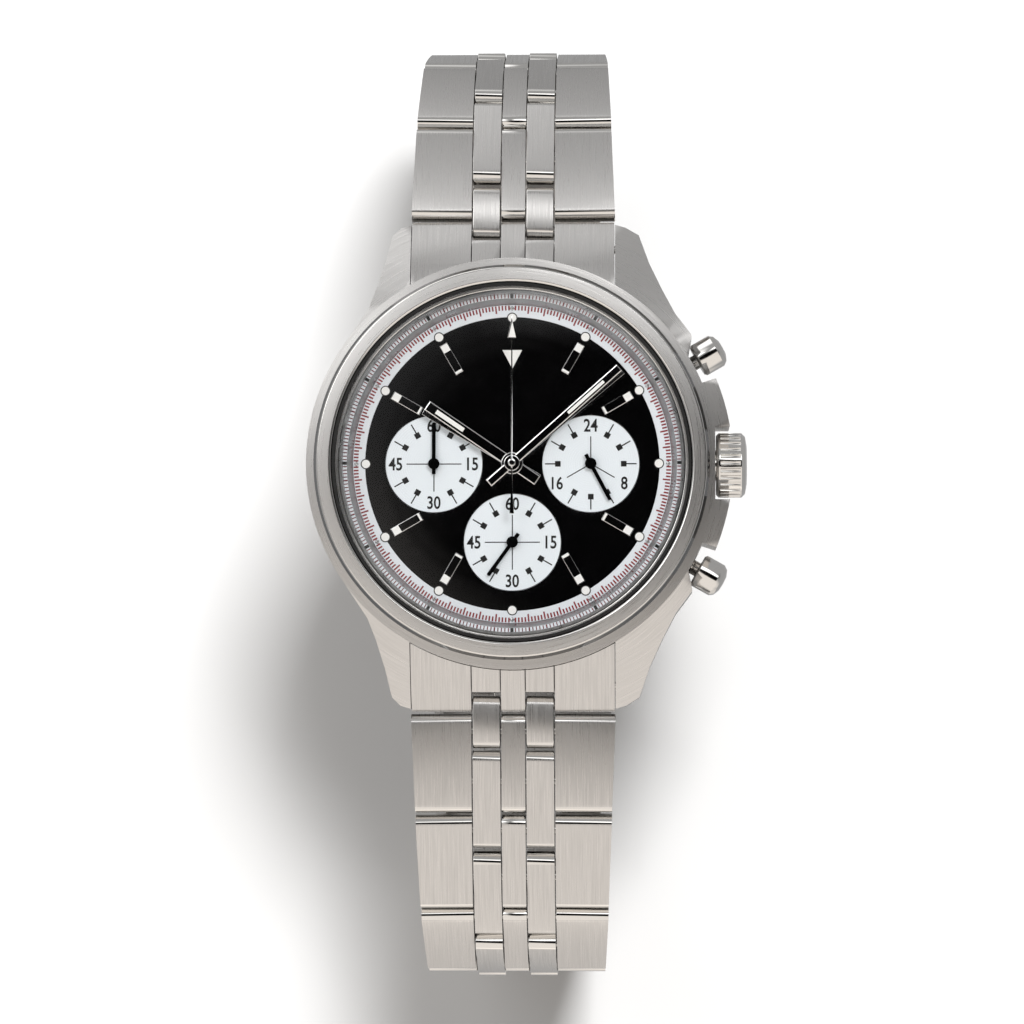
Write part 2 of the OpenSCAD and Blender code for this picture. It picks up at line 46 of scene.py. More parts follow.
MM = 0.001
FULL_TURN = 360.0
HOUR_TURN = FULL_TURN / 12
# nearly all of a noise texture's values lie between these two
NOISE_LOW, NOISE_HIGH = 0.3, 0.7
# drawn height of grain and of turned rings
RELIEF = 0.01 * MM
# how far print, a bright border and a lacquered face stand over what they lie on, in millimetres
PRINT_RISE = 0.01
BORDER_RISE = 0.005
FACE_RISE = 0.04

Point = tuple[float, float]
Place = tuple[float, float, float]
Colour = tuple[float, float, float, float]
Polygon = list[Point]
# a printed strip that points away from a centre: where it starts, where it ends, its width
Strip = tuple[float, float, float]


# ---------------------------------------------------------------- materials


def srgb(code: str) -> Colour:
    """Turns an sRGB hex colour into a linear one.

    Args:
        code: Six hex digits, with or without a leading hash.

    Returns:
        Linear red, green, blue and an alpha of one.
    """
    digits = code.lstrip("#")
    values = [int(digits[i : i + 2], 16) / 255 for i in (0, 2, 4)]
    linear = [v / 12.92 if v <= 0.04045 else ((v + 0.055) / 1.055) ** 2.4 for v in values]
    return linear[0], linear[1], linear[2], 1.0


def dimmed(colour: Colour, share: float) -> Colour:
    """Scales a linear colour's brightness and leaves its alpha."""
    red, green, blue, alpha = colour
    return red * share, green * share, blue * share, alpha


def add_node(
    tree: bpy.types.NodeTree,
    kind: str,
    settings: dict[str, Any] | None = None,
    links: dict[str | int, bpy.types.NodeSocket] | None = None,
    **values: Any,
) -> bpy.types.Node:
    """Adds one node with its settings, socket values and incoming links.

    Args:
        tree: The node tree that the node goes into.
        kind: Blender's name for the node type.
        settings: Attributes of the node itself.
        links: Input socket name or number to the output that feeds it.
        **values: Input socket values, with spaces in names as underscores.

    Returns:
        The new node.
    """
    node = tree.nodes.new(kind)
    for key, value in (settings or {}).items():
        setattr(node, key, value)
    for key, value in values.items():
        node.inputs[key.replace("_", " ")].default_value = value
    for key, source in (links or {}).items():
        tree.links.new(source, node.inputs[key])
    return node


def new_material(name: str) -> tuple[bpy.types.Material, bpy.types.NodeTree]:
    """Makes an empty node material.

    Args:
        name: The material's name.

    Returns:
        The material and its node tree.
    """
    material = bpy.data.materials.new(name)
    material.use_nodes = True
    material.node_tree.nodes.clear()
    return material, material.node_tree


def from_axis(
    tree: bpy.types.NodeTree, place: bpy.types.NodeSocket
) -> tuple[bpy.types.NodeSocket, bpy.types.NodeSocket]:
    """Measures how far a place is from an upright axis.

    Args:
        tree: The material's node tree.
        place: Coordinates with their origin on the axis.

    Returns:
        The place without its height, and its distance from the axis.
    """
    flat = add_node(tree, "ShaderNodeVectorMath", {"operation": "MULTIPLY"}, {0: place})
    flat.inputs[1].default_value = (1, 1, 0)
    radius = add_node(tree, "ShaderNodeVectorMath", {"operation": "LENGTH"}, {0: flat.outputs[0]})
    return flat.outputs[0], radius.outputs["Value"]


class Brushing(Enum):
    """Which way the abrasive belt ran over the steel."""

    LENGTHWISE = "along the bracelet"
    CIRCULAR = "round the hand axis"


@dataclass(frozen=True)
class BrushedSteel:
    """316L stainless steel, belt brushed: fine parallel lines that smear each highlight across them.

    A belt of fine grit cuts lines a few hundredths of a millimetre wide. They are drawn wider, so
    that they show.
    """

    name: str
    brushing: Brushing
    colour: str = "cfcdcb"
    roughness: float = 0.3
    # how much duller than that the lines are, and how much glossier the ridges between them
    duller: float = 0.08
    glossier: float = 0.06
    # width and length of a line
    line_mm: float = 0.09
    line_run_mm: float = 5.0
    # colour of a line as a share of the steel's, and the noise values that give line and ridge
    line_dark: float = 0.84
    line_at: float = 0.3
    ridge_at: float = 0.72
    # height of the lines, and how strongly it is felt
    bump_mm: float = 0.01
    depth: float = 0.25
    # how far a highlight smears, and in which direction: a quarter turn is across the lines
    anisotropy: float = 0.55
    smear_turn: float = 0.25
    # slope of the face away from the hand axis
    fall: float = 0.0

    def _line_space(self, tree: bpy.types.NodeTree, place: bpy.types.NodeSocket) -> bpy.types.NodeSocket:
        """Builds coordinates that change fast across the brushed lines and slowly along them.

        Args:
            tree: The material's node tree.
            place: The object's own coordinates.

        Returns:
            The vector socket to feed a noise with.
        """
        across = 1 / (self.line_mm * MM)
        along = 1 / (self.line_run_mm * MM)
        if self.brushing is Brushing.LENGTHWISE:
            stretch = add_node(tree, "ShaderNodeVectorMath", {"operation": "MULTIPLY"}, {0: place})
            stretch.inputs[1].default_value = (across, along, along)
            return stretch.outputs[0]
        flat, radius = from_axis(tree, place)
        fast = add_node(tree, "ShaderNodeMath", {"operation": "MULTIPLY"}, {0: radius})
        fast.inputs[1].default_value = across
        slow = add_node(tree, "ShaderNodeVectorMath", {"operation": "MULTIPLY"}, {0: flat})
        slow.inputs[1].default_value = (along, along, 0)
        lift = add_node(tree, "ShaderNodeCombineXYZ", links={"Z": fast.outputs[0]})
        return add_node(
            tree, "ShaderNodeVectorMath", {"operation": "ADD"}, {0: slow.outputs[0], 1: lift.outputs[0]}
        ).outputs[0]

    def _with_fall(
        self, tree: bpy.types.NodeTree, place: bpy.types.NodeSocket, lines: bpy.types.NodeSocket
    ) -> bpy.types.NodeSocket:
        """Adds the slight fall that a wheel gives a face, away from the hand axis.

        Args:
            tree: The material's node tree.
            place: The object's own coordinates.
            lines: Height of the brushed lines.

        Returns:
            Height of the lines on a face that falls outwards.
        """
        _, radius = from_axis(tree, place)
        drop = add_node(tree, "ShaderNodeMath", {"operation": "MULTIPLY_ADD"}, {0: radius, 2: lines})
        drop.inputs[1].default_value = -self.fall / (self.depth * self.bump_mm * MM)
        return drop.outputs[0]

    def build(self) -> bpy.types.Material:
        """Makes the material.

        Returns:
            Brushed steel with lines in its colour, gloss and height.
        """
        material, tree = new_material(self.name)
        place = add_node(tree, "ShaderNodeTexCoord").outputs["Object"]
        lines = add_node(
            tree,
            "ShaderNodeTexNoise",
            links={"Vector": self._line_space(tree, place)},
            Scale=1.0,
            Detail=3.0,
            Roughness=0.65,
        ).outputs["Fac"]
        tone = add_node(tree, "ShaderNodeValToRGB", links={"Fac": lines})
        base = srgb(self.colour)
        tone.color_ramp.elements[0].position = self.line_at
        tone.color_ramp.elements[0].color = dimmed(base, self.line_dark)
        tone.color_ramp.elements[1].position = self.ridge_at
        tone.color_ramp.elements[1].color = base
        gloss = add_node(
            tree,
            "ShaderNodeMapRange",
            links={"Value": lines},
            From_Min=NOISE_LOW,
            From_Max=NOISE_HIGH,
            To_Min=self.roughness + self.duller,
            To_Max=self.roughness - self.glossier,
        )
        relief = self._with_fall(tree, place, lines) if self.fall else lines
        height = add_node(
            tree,
            "ShaderNodeBump",
            links={"Height": relief},
            Strength=self.depth,
            Distance=self.bump_mm * MM,
        )
        axis = "X" if self.brushing is Brushing.LENGTHWISE else "Z"
        tangent = add_node(tree, "ShaderNodeTangent", {"direction_type": "RADIAL", "axis": axis})
        steel = add_node(
            tree,
            "ShaderNodeBsdfPrincipled",
            links={
                "Base Color": tone.outputs[0],
                "Roughness": gloss.outputs[0],
                "Normal": height.outputs[0],
                "Tangent": tangent.outputs[0],
            },
            Metallic=1.0,
            Anisotropic=self.anisotropy,
            Anisotropic_Rotation=self.smear_turn,
        )
        add_node(tree, "ShaderNodeOutputMaterial", links={"Surface": steel.outputs[0]})
        return material


@dataclass(frozen=True)
class PlainFinish:
    """A smooth finish with faint clouding in its gloss, so that no face is one flat tone."""

    name: str
    colour: str
    roughness: float
    metallic: float = 0.0
    coat: float = 0.0
    # size of the clouds, how far they move the gloss, and their darkest tone as a share
    cloud_mm: float = 1.5
    cloud: float = 0.05
    cloud_dark: float = 0.93
    # the least roughness that a cloud leaves
    keenest: float = 0.02
    # size and height of the grain, if it has any
    speck_mm: float = 0.0
    speck_height: float = 0.0

    def build(self) -> bpy.types.Material:
        """Makes the material.

        Returns:
            The finish, with clouded gloss and, if it has any, a fine grain.
        """
        material, tree = new_material(self.name)
        place = add_node(tree, "ShaderNodeTexCoord").outputs["Object"]
        clouds = add_node(
            tree,
            "ShaderNodeTexNoise",
            links={"Vector": place},
            Scale=1 / (self.cloud_mm * MM),
            Detail=4.0,
            Roughness=0.6,
        ).outputs["Fac"]
        gloss = add_node(
            tree,
            "ShaderNodeMapRange",
            links={"Value": clouds},
            From_Min=NOISE_LOW,
            From_Max=NOISE_HIGH,
            To_Min=max(self.keenest, self.roughness - self.cloud),
            To_Max=self.roughness + self.cloud,
        )
        tone = add_node(tree, "ShaderNodeValToRGB", links={"Fac": clouds})
        base = srgb(self.colour)
        tone.color_ramp.elements[0].color = dimmed(base, self.cloud_dark)
        tone.color_ramp.elements[1].color = base
        links = {"Base Color": tone.outputs[0], "Roughness": gloss.outputs[0]}
        if self.speck_mm:
            grain = add_node(
                tree,
                "ShaderNodeTexNoise",
                links={"Vector": place},
                Scale=1 / (self.speck_mm * MM),
                Detail=2.0,
            ).outputs["Fac"]
            links["Normal"] = add_node(
                tree, "ShaderNodeBump", links={"Height": grain}, Strength=self.speck_height, Distance=RELIEF
            ).outputs[0]
        surface = add_node(
            tree, "ShaderNodeBsdfPrincipled", links=links, Metallic=self.metallic, Coat_Weight=self.coat
        )
        add_node(tree, "ShaderNodeOutputMaterial", links={"Surface": surface.outputs[0]})
        return material


@dataclass(frozen=True)
class MineralGlass:
    """Polished mineral glass: clear straight through, with a mirror that grows as the view gets flatter.

    Only the outer face mirrors, because the light isn't bent on its way in and would be trapped.
    """

    name: str
    ior: float = 1.52
    tint: str = "fdfdfd"
    mirror: str = "ffffff"
    roughness: float = 0.02

    def build(self) -> bpy.types.Material:
        """Makes the material.

        Returns:
            Clear glass that lets the lamps reach the dial.
        """
        material, tree = new_material(self.name)
        grazing = add_node(tree, "ShaderNodeFresnel", IOR=self.ior).outputs[0]
        inside = add_node(tree, "ShaderNodeNewGeometry").outputs["Backfacing"]
        outside = add_node(tree, "ShaderNodeMath", {"operation": "SUBTRACT"}, {1: inside})
        outside.inputs[0].default_value = 1.0
        share = add_node(
            tree, "ShaderNodeMath", {"operation": "MULTIPLY"}, {0: grazing, 1: outside.outputs[0]}
        ).outputs[0]
        clear = add_node(tree, "ShaderNodeBsdfTransparent", Color=srgb(self.tint)).outputs[0]
        gloss = add_node(
            tree, "ShaderNodeBsdfGlossy", Color=srgb(self.mirror), Roughness=self.roughness
        ).outputs[0]
        both = add_node(tree, "ShaderNodeMixShader", links={0: share, 1: clear, 2: gloss})
        add_node(tree, "ShaderNodeOutputMaterial", links={"Surface": both.outputs[0]})
        return material


@dataclass(frozen=True)
class TurnedLacquer:
    """White lacquer over a turned disc: hairline rings show as faint steps of grey."""

    name: str
    centre: Point
    colour: str = "ecf3f8"
    roughness: float = 0.4
    # distance between rings, their darkest tone as a share, and how strongly they are felt
    ring_mm: float = 0.22
    ring_dark: float = 0.95
    ring_depth: float = 0.08

    def build(self) -> bpy.types.Material:
        """Makes the material.

        Returns:
            White lacquer with concentric rings round its own centre.
        """
        material, tree = new_material(self.name)
        place = add_node(tree, "ShaderNodeTexCoord").outputs["Object"]
        local = add_node(tree, "ShaderNodeVectorMath", {"operation": "SUBTRACT"}, {0: place})
        local.inputs[1].default_value = (self.centre[0] * MM, self.centre[1] * MM, 0)
        _, radius = from_axis(tree, local.outputs[0])
        turns = add_node(tree, "ShaderNodeMath", {"operation": "MULTIPLY"}, {0: radius})
        turns.inputs[1].default_value = math.tau / (self.ring_mm * MM)
        wave = add_node(tree, "ShaderNodeMath", {"operation": "SINE"}, {0: turns.outputs[0]}).outputs[0]
        base = srgb(self.colour)
        share = add_node(tree, "ShaderNodeMapRange", links={"Value": wave}, From_Min=-1.0).outputs[0]
        tone = add_node(tree, "ShaderNodeValToRGB", links={"Fac": share})
        tone.color_ramp.elements[0].color = dimmed(base, self.ring_dark)
        tone.color_ramp.elements[1].color = base
        height = add_node(
            tree, "ShaderNodeBump", links={"Height": wave}, Strength=self.ring_depth, Distance=RELIEF
        )
        surface = add_node(
            tree,
            "ShaderNodeBsdfPrincipled",
            links={"Base Color": tone.outputs[0], "Normal": height.outputs[0]},
            Roughness=self.roughness,
        )
        add_node(tree, "ShaderNodeOutputMaterial", links={"Surface": surface.outputs[0]})
        return material


class Finishes:
    """Every finish on the watch, built once."""

    def __init__(self) -> None:
        """Builds the materials."""
        # long fine lines along each bar, a soft streak of light down its length
        self.bracelet = BrushedSteel("steel_brushed_lengthwise", Brushing.LENGTHWISE).build()
        # lines run round the case and over the lugs, so each lug turns light or dark as a whole
        self.case = BrushedSteel(
            "steel_brushed_round_case", Brushing.CIRCULAR, line_dark=0.9, fall=0.14
        ).build()
        # lines run round the bezel, so the light gathers in wedges
        self.bezel = BrushedSteel(
            "steel_brushed_circular", Brushing.CIRCULAR, "dad8d6", line_dark=0.92, anisotropy=0.5, fall=0.1
        ).build()
        # buffed edges: a near mirror that draws a thin bright or dark line along every edge
        self.polish = PlainFinish("steel_polished", "dddbd8", 0.08, 1.0, cloud=0.03).build()
        # rhodium plated hands and batons: a cleaner, whiter mirror than steel
        self.rhodium = PlainFinish("rhodium_plate", "e4e4e4", 0.1, 1.0, cloud=0.03).build()
        # baked gloss lacquer: deep black under a clear coat
        self.black = PlainFinish("lacquer_gloss_black", "050506", 0.14, 0.0, 1.0, cloud=0.02).build()
        # pad-printed ink: dense, slightly raised, half matt
        self.ink = PlainFinish("ink_black", "0c0c0d", 0.45).build()
        # printed oxide red of the minute scale
        self.red_ink = PlainFinish("ink_dark_red", "84141f", 0.5).build()
        # white lacquer of the minute ring, a little cool
        self.white = PlainFinish("lacquer_white", "e8edf2", 0.42, cloud=0.04).build()
        # luminous paint: a dry, faintly green white with a fine grain
        self.lume = PlainFinish("luminous_paint", "f8f8f5", 0.6, speck_mm=0.12, speck_height=0.3).build()
        # satin nickel of the sloped ring: a soft mid grey
        self.flange = PlainFinish("nickel_satin", "b2b4b5", 0.3, 1.0).build()
        # ground and polished crystal: clear, with a soft mirror that grows towards its rim
        self.glass = MineralGlass("glass_mineral").build()
        # nitrile seal: soft matt black
        self.rubber = PlainFinish("rubber_nitrile", "141414", 0.7, speck_mm=0.2, speck_height=0.2).build()
        # plated brass of the movement plate, grained all over
        self.brass = PlainFinish("brass_plated", "c8a765", 0.3, 1.0, speck_mm=0.1, speck_height=0.4).build()
        # nickel plate of bridge and cell
        self.nickel = PlainFinish("nickel_bright", "bdbbb6", 0.22, 1.0).build()
        # enamelled copper wire: lacquer gloss over orange metal
        self.copper = PlainFinish("copper_enamelled", "a3522a", 0.25, 1.0, 0.5).build()
        # moulded POM holder: waxy off-white
        self.plastic = PlainFinish("pom_moulded", "dcdbd4", 0.45, speck_mm=0.3, speck_height=0.15).build()


# ------------------------------------------------------------------- meshes

# faces that meet at less than this stay one smooth surface
STEP_ANGLE = math.radians(30)
# edges of a solid that turn by more than this are rounded
EDGE_ANGLE = math.radians(24)
# points closer than this, in metres, are one point
SAME_POINT = 1e-6
# how much a digit's strokes are thickened, as a share of the letter size
STROKE_GAIN = 0.018
CURVE_STEPS = 4


def clock_point(angle: float, radius: float, centre: Point = (0.0, 0.0)) -> Point:
    """A point by its clock angle.

    Args:
        angle: Degrees clockwise from twelve o'clock.
        radius: Distance from the centre in millimetres.
        centre: Centre in millimetres.

    Returns:
        X and Y in millimetres.
    """
    turn = math.radians(angle)
    return centre[0] + radius * math.sin(turn), centre[1] + radius * math.cos(turn)


@dataclass(frozen=True)
class Bar:
    """A straight bar that points away from the hand axis."""

    angle: float
    inner: float
    outer: float
    width: float

    def outline(self, inset: float = 0.0) -> Polygon:
        """Gives the bar's corners, drawn in by an inset on every side."""
        return spoke(self.angle, self.inner + inset, self.outer - inset, self.width - 2 * inset)


def spoke(angle: float, inner: float, outer: float, width: float, centre: Point = (0.0, 0.0)) -> Polygon:
    """A straight bar that points away from a centre.

    Args:
        angle: Degrees clockwise from twelve o'clock.
        inner: Where the bar starts, in millimetres from the centre.
        outer: Where it ends.
        width: Its width in millimetres.
        centre: Centre in millimetres.

    Returns:
        The bar's four corners.
    """
    side = clock_point(angle + 90, width / 2)
    near = clock_point(angle, inner, centre)
    far = clock_point(angle, outer, centre)
    return [
        (near[0] - side[0], near[1] - side[1]),
        (near[0] + side[0], near[1] + side[1]),
        (far[0] + side[0], far[1] + side[1]),
        (far[0] - side[0], far[1] - side[1]),
    ]


def turned(points: Sequence[Point], angle: float, centre: Point = (0.0, 0.0)) -> Polygon:
    """Turns a shape drawn pointing to twelve.

    Args:
        points: The shape, in millimetres.
        angle: Degrees clockwise.
        centre: Where its own origin goes.

    Returns:
        The turned shape.
    """
    turn = math.radians(angle)
    cos, sin = math.cos(turn), math.sin(turn)
    return [(centre[0] + x * cos + y * sin, centre[1] - x * sin + y * cos) for x, y in points]


def round_shape(centre: Point, radius: float, sides: int = 48) -> Polygon:
    """A disc's outline.

    Args:
        centre: Centre in millimetres.
        radius: Radius in millimetres.
        sides: Number of corners.

    Returns:
        The outline.
    """
    return [clock_point(FULL_TURN * i / sides, radius, centre) for i in range(sides)][::-1]


@dataclass
class Maker:
    """Turns outlines in millimetres into Blender pieces on the head."""

    head_z: float
    # white pieces, which have a lamp of their own
    whites: list[bpy.types.Object] = field(default_factory=list)

    def level_of(self, node: str) -> float:
        """Gives how far a solid's top is over the case back, in millimetres."""
        return (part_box(node)[1][2] - self.head_z) / MM

    def piece(
        self,
        name: str,
        verts: list[Place],
        faces: list[list[int]],
        material: bpy.types.Material,
        body: str,
        slot: str,
    ) -> bpy.types.Object:
        """Makes a mesh piece that rides on a body.

        Args:
            name: The piece's name.
            verts: Points in metres.
            faces: Point numbers of each face.
            material: Its finish.
            body: The body that it rides on.
            slot: The record's material slot.

        Returns:
            The piece.
        """
        mesh = bpy.data.meshes.new(name)
        mesh.from_pydata(verts, [], faces)
        mesh.validate()
        mesh.update()
        mesh.materials.append(material)
        made = bpy.data.objects.new(name, mesh)
        bpy.context.scene.collection.objects.link(made)
        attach(made, body)
        if slot == "white_ring":
            self.whites.append(made)
        log.info("made %s: %d faces", name, len(faces))
        return made

    def printed(
        self,
        name: str,
        shapes: Iterable[Polygon],
        level: float,
        material: bpy.types.Material,
        body: str = "head",
        slot: str = "dial_black",
        thickness: float = 0.012,
    ) -> bpy.types.Object:
        """Makes one piece of thin raised shapes, such as print or inlay.

        Args:
            name: The piece's name.
            shapes: Outlines, anticlockwise, in millimetres.
            level: Height of the top face over the case back, in millimetres.
            material: Its finish.
            body: The body that it rides on.
            slot: The record's material slot.
            thickness: How far its sides go down, in millimetres.

        Returns:
            The piece.
        """
        verts: list[Place] = []
        faces: list[list[int]] = []
        top = self.head_z + level * MM
        for shape in shapes:
            start, count = len(verts), len(shape)
            verts += [(x * MM, y * MM, top) for x, y in shape]
            verts += [(x * MM, y * MM, top - thickness * MM) for x, y in shape]
            faces.append([start + i for i in range(count)])
            for i in range(count):
                j = (i + 1) % count
                faces.append([start + j, start + i, start + count + i, start + count + j])
        piece = self.piece(name, verts, faces, material, body, slot)
        self._face_up(piece)
        return piece

    def framed(
        self,
        name: str,
        bars: Sequence[Bar],
        level: float,
        material: bpy.types.Material,
        body: str = "head",
        border: float = 0.1,
        rise: float = 0.035,
    ) -> bpy.types.Object:
        """Makes the sloped bright border of each bar, which catches light from the side.

        Args:
            name: The piece's name.
            bars: The bars.
            level: Height of the border's outer edge over the case back, in millimetres.
            material: Its finish.
            body: The body that it rides on.
            border: Width of the border in millimetres.
            rise: How much higher its inner edge is.

        Returns:
            The piece.
        """
        verts: list[Place] = []
        faces: list[list[int]] = []
        low = self.head_z + level * MM
        for bar in bars:
            start = len(verts)
            outer, inner = bar.outline(), bar.outline(border)
            verts += [(x * MM, y * MM, low) for x, y in outer]
            verts += [(x * MM, y * MM, low + rise * MM) for x, y in inner]
            count = len(outer)
            for i in range(count):
                j = (i + 1) % count
                faces.append([start + i, start + j, start + count + j, start + count + i])
        piece = self.piece(name, verts, faces, material, body, "bright_metal")
        self._face_up(piece, 0.0)
        return piece

    def _face_up(self, piece: bpy.types.Object, steepness: float = 0.9) -> None:
        """Turns faces that were drawn clockwise so that they face up.

        Args:
            piece: The piece.
            steepness: How far down a face has to look to be turned, from 0 to 1.
        """
        for face in piece.data.polygons:
            if face.normal.z < -steepness:
                face.flip()
        piece.data.update()

    def lathe(
        self,
        name: str,
        profile: Sequence[Point],
        material: bpy.types.Material,
        slot: str,
        centre: Point = (0.0, 0.0),
        body: str = "head",
        sides: int = 192,
    ) -> bpy.types.Object:
        """Turns a profile round an upright axis.

        Args:
            name: The piece's name.
            profile: Radius and height over the case back, in millimetres.
            material: Its finish.
            slot: The record's material slot.
            centre: Where the axis stands, in millimetres.
            body: The body that it rides on.
            sides: Steps round the axis.

        Returns:
            The piece, shaded smooth with its sharp steps kept.
        """
        verts: list[Place] = []
        faces: list[list[int]] = []
        rows = len(profile)
        for i in range(sides):
            for radius, level in profile:
                x, y = clock_point(FULL_TURN * i / sides, radius, centre)
                verts.append((x * MM, y * MM, self.head_z + level * MM))
        for i in range(sides):
            j = (i + 1) % sides
            for k in range(rows - 1):
                faces.append([i * rows + k, j * rows + k, j * rows + k + 1, i * rows + k + 1])
        piece = self.piece(name, verts, faces, material, body, slot)
        for face in piece.data.polygons:
            face.use_smooth = True
        piece.data.set_sharp_from_angle(angle=STEP_ANGLE)
        return piece


def figure_shapes(figure: str, height: float, squeeze: float) -> tuple[Polygon, list[list[int]]]:
    """Draws a number as flat faces, centred on its own origin.

    Args:
        figure: The digits.
        height: Height of a digit in millimetres.
        squeeze: Width as a share of the plain letterform's.

    Returns:
        Points in millimetres, and the faces between them.
    """
    curve = bpy.data.curves.new("figure", "FONT")
    curve.body = figure
    curve.resolution_u = CURVE_STEPS
    curve.offset = STROKE_GAIN
    holder = bpy.data.objects.new("figure", curve)
    bpy.context.scene.collection.objects.link(holder)
    mesh = holder.evaluated_get(bpy.context.evaluated_depsgraph_get()).to_mesh()
    points = [(v.co.x, v.co.y) for v in mesh.vertices]
    faces = [list(p.vertices) for p in mesh.polygons]
    bpy.data.objects.remove(holder)
    bpy.data.curves.remove(curve)
    low, high = ([pick(p[i] for p in points) for i in (0, 1)] for pick in (min, max))
    scale = height / (high[1] - low[1])
    middle = [(low[i] + high[i]) / 2 for i in (0, 1)]
    return [((x - middle[0]) * scale * squeeze, (y - middle[1]) * scale) for x, y in points], faces


def soften(node: str, width_mm: float, edge: bpy.types.Material | None = None, segments: int = 3) -> None:
    """Rounds a solid's edges and gives the rounding its own finish.

    Args:
        node: The solid's name.
        width_mm: Width of the rounding.
        edge: Finish of the rounded edges, if it differs.
        segments: Steps across the rounding.
    """
    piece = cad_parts[node]
    weld = piece.modifiers.new("weld", "WELD")
    weld.merge_threshold = SAME_POINT
    bevel = piece.modifiers.new("edge", "BEVEL")
    bevel.width = width_mm * MM
    bevel.segments = segments
    bevel.limit_method = "ANGLE"
    bevel.angle_limit = EDGE_ANGLE
    if edge is not None:
        piece.data.materials.append(edge)
        bevel.material = len(piece.data.materials) - 1
    shade = piece.modifiers.new("shade", "WEIGHTED_NORMAL")
    shade.keep_sharp = True


def dress(node: str, finish: bpy.types.Material, smooth: bool = True) -> None:
    """Gives every face of a solid one finish.

    Args:
        node: The solid's name.
        finish: The finish.
        smooth: Whether its facets are shaded as one smooth surface.
    """
    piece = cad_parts[node]
    piece.data.materials.clear()
    piece.data.materials.append(finish)
    for face in piece.data.polygons:
        face.use_smooth = smooth
        face.material_index = 0
    log.info("dressed %s in %s", node, finish.name)


# --------------------------------------------------------------- sub-assemblies


@dataclass
class CaseHead:
    """Case, bezel, crystal, back, crown and pushers."""

    finishes: Finishes
    maker: Maker
    # width of the buffed edges
    case_edge: float = 0.22
    bezel_edge: float = 0.12
    crystal_edge: float = 0.1
    small_edge: float = 0.08
    # painted shade: a black ring on the bezel's outer slope that stands for the shade in the gap round the
    # bezel's rim: radius and height, from inside to outside
    painted_gap_shade: tuple[Point, ...] = ((18.72, 10.46), (18.97, 9.88))

    def build(self) -> None:
        """Dresses the case's solids and rounds their edges."""
        f = self.finishes
        dress("case_middle", f.case)
        soften("case_middle", self.case_edge, f.polish)
        dress("bezel", f.bezel)
        soften("bezel", self.bezel_edge, f.polish)
        # paints the gap between bezel and case as a black ring of painted shade
        self.maker.lathe("bezel_painted_gap_shade", self.painted_gap_shade, f.black, "dial_black")
        dress("crystal", f.glass)
        soften("crystal", self.crystal_edge)
        dress("gaskets", f.rubber)
        dress("case_back", f.bezel)
        soften("case_back", self.small_edge, f.polish)
        for node in ("crown", "start_pusher", "reset_pusher"):
            dress(node, f.polish)
            soften(node, self.small_edge)
        for node in ("case_tubes", "spring_bars", "winding_stem"):
            dress(node, f.polish)


@dataclass
class Movement:
    """What the case holds under the dial."""

    finishes: Finishes
    edge: float = 0.06

    def build(self) -> None:
        """Dresses each hidden solid."""
        f = self.finishes
        for node, finish in {
            "movement_plate": f.brass,
            "clutch_wheel": f.brass,
            "movement_bridge": f.nickel,
            "battery": f.nickel,
            "drive_coils": f.copper,
            "movement_holder": f.plastic,
        }.items():
            dress(node, finish)
            soften(node, self.edge)


SIXTY = {0: "60", 90: "15", 180: "30", 270: "45"}
TWENTY_FOUR = {0: "24", 120: "8", 240: "16"}


@dataclass(frozen=True)
class SubDial:
    """One recessed counter: where it is and the number printed at each clock angle."""

    name: str
    centre: Point
    figures: dict[int, str]


